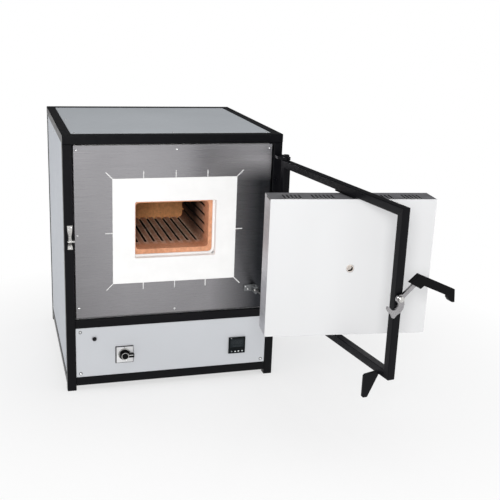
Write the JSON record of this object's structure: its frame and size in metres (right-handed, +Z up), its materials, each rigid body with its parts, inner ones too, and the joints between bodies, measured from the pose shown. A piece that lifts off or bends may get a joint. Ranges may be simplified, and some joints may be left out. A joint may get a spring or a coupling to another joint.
{
  "type": "pottery kiln",
  "caption": "Bench electric kiln with a grooved ceramic chamber, control panel and an insulated door leaf carried parallel in a swinging tube frame.",
  "frame": {"origin": "on the floor, under the middle of the whole kiln's box with its door open as shown", "axes": "+Z up, the chamber's mouth faces -Y, +X to the hinge side of the door"},
  "size_m": [0.8558, 1.2312, 0.72],
  "materials": {
    "black_frame": "satin black paint",
    "grey_panel": "light grey powder coat",
    "inner_sheet": "plain zinc-coated sheet",
    "front_steel": "brushed stainless sheet",
    "bright_steel": "polished plated steel",
    "anchor_steel": "light grey plated bracket",
    "relay_metal": "extruded aluminium",
    "ceramic_fibre": "matt white vacuum-formed fibre",
    "terracotta": "unglazed fired clay",
    "sight_ceramic": "unglazed pale ceramic",
    "heating_wire": "oxidised resistance wire",
    "leaf_paint": "white powder coat",
    "black_plastic": "black moulded plastic",
    "light_plastic": "light grey moulded plastic",
    "button_plastic": "dark moulded plastic"
  },
  "bodies": {
    "cabinet": {"frame_upright_front_left": "black_frame", "frame_upright_front_right": "black_frame", "frame_upright_rear_left": "black_frame", "frame_upright_rear_right": "black_frame", "top_rail_front": "black_frame", "top_rail_right": "black_frame", "top_rail_rear": "black_frame", "top_rail_left": "black_frame", "mid_rail_front": "black_frame", "bottom_rail_front": "black_frame", "bottom_rail_rear": "black_frame", "bottom_rail_left": "black_frame", "bottom_rail_right": "black_frame", "top_panel": "grey_panel", "left_panel": "grey_panel", "right_panel": "grey_panel", "rear_panel": "grey_panel", "base_plate": "inner_sheet", "deck_plate": "inner_sheet", "front_plate": "front_steel", "control_panel": "grey_panel", "fibre_collar": "ceramic_fibre", "muffle": "terracotta", "insulation_bottom": "ceramic_fibre", "insulation_top": "ceramic_fibre", "insulation_left": "ceramic_fibre", "insulation_right": "ceramic_fibre", "insulation_rear": "ceramic_fibre", "heating_element": "heating_wire", "thermocouple": "bright_steel", "terminal_block": "sight_ceramic", "solid_state_relay": "relay_metal", "cable_gland": "black_plastic", "controller_housing": "black_plastic", "mains_switch_housing": "light_plastic", "push_button_bezel": "bright_steel", "latch_keeper": "bright_steel", "hinge_lug_upper": "black_frame", "hinge_lug_lower": "black_frame", "link_anchor": "anchor_steel"},
    "door_frame": {"door_frame_tube_bottom": "black_frame", "door_frame_tube_free": "black_frame", "door_frame_tube_top": "black_frame", "door_frame_tube_hinge": "black_frame", "door_stop": "black_frame", "leaf_pivot_upper": "black_frame", "leaf_pivot_lower": "bright_steel", "latch_bolt": "bright_steel"},
    "leaf": {"leaf_casing": "leaf_paint", "leaf_insulation": "ceramic_fibre", "sight_tube": "sight_ceramic"},
    "link": {"link_rod": "bright_steel"},
    "latch": {"latch_lever": "bright_steel", "latch_grip": "black_plastic"},
    "mains_switch_knob": {"mains_switch_knob": "black_plastic"},
    "push_button": {"push_button": "button_plastic"},
    "controller_key_1": {"controller_key_1": "light_plastic"},
    "controller_key_2": {"controller_key_2": "light_plastic"},
    "controller_key_3": {"controller_key_3": "light_plastic"},
    "controller_key_4": {"controller_key_4": "light_plastic"}
  },
  "joints": [
    {"name": "door_swing", "type": "hinge", "parent": "cabinet", "child": "door_frame", "pos_m": [0.17006, -0.03638, 0.451], "axis": [0, 0, 1], "range_deg": [-98.3, 7]},
    {"name": "leaf_pivot", "type": "hinge", "parent": "door_frame", "child": "leaf", "pos_m": [0.21516, -0.34551, 0.458], "axis": [0, 0, 1], "range_deg": [-7.5, 105.3]},
    {"name": "link_pivot", "type": "hinge", "parent": "cabinet", "child": "link", "pos_m": [0.10706, -0.01238, 0.27475], "axis": [0, 0, 1], "range_deg": [-98.3, 7]},
    {"name": "latch_turn", "type": "hinge", "parent": "door_frame", "child": "latch", "pos_m": [0.25249, -0.6014, 0.448], "axis": [-0.1444, 0.9895, 0], "range_deg": [-20, 35]},
    {"name": "mains_switch_turn", "type": "hinge", "parent": "cabinet", "child": "mains_switch_knob", "pos_m": [-0.26914, -0.00138, 0.1002], "axis": [0, -1, 0], "range_deg": [0, 90]},
    {"name": "push_button_travel", "type": "slide", "parent": "cabinet", "child": "push_button", "axis": [0, 1, 0], "range_m": [0, 0.003], "stiffness_N_per_m": 200, "springref_m": -0.002},
    {"name": "controller_key_1_travel", "type": "slide", "parent": "cabinet", "child": "controller_key_1", "axis": [0, 1, 0], "range_m": [0, 0.0008], "stiffness_N_per_m": 300, "springref_m": -0.001},
    {"name": "controller_key_2_travel", "type": "slide", "parent": "cabinet", "child": "controller_key_2", "axis": [0, 1, 0], "range_m": [0, 0.0008], "stiffness_N_per_m": 300, "springref_m": -0.001},
    {"name": "controller_key_3_travel", "type": "slide", "parent": "cabinet", "child": "controller_key_3", "axis": [0, 1, 0], "range_m": [0, 0.0008], "stiffness_N_per_m": 300, "springref_m": -0.001},
    {"name": "controller_key_4_travel", "type": "slide", "parent": "cabinet", "child": "controller_key_4", "axis": [0, 1, 0], "range_m": [0, 0.0008], "stiffness_N_per_m": 300, "springref_m": -0.001}
  ],
  "couplings": [
    {"joint": "leaf_pivot", "follows": "door_swing", "ratio": -1.0712},
    {"joint": "link_pivot", "follows": "door_swing", "ratio": 1}
  ]
}
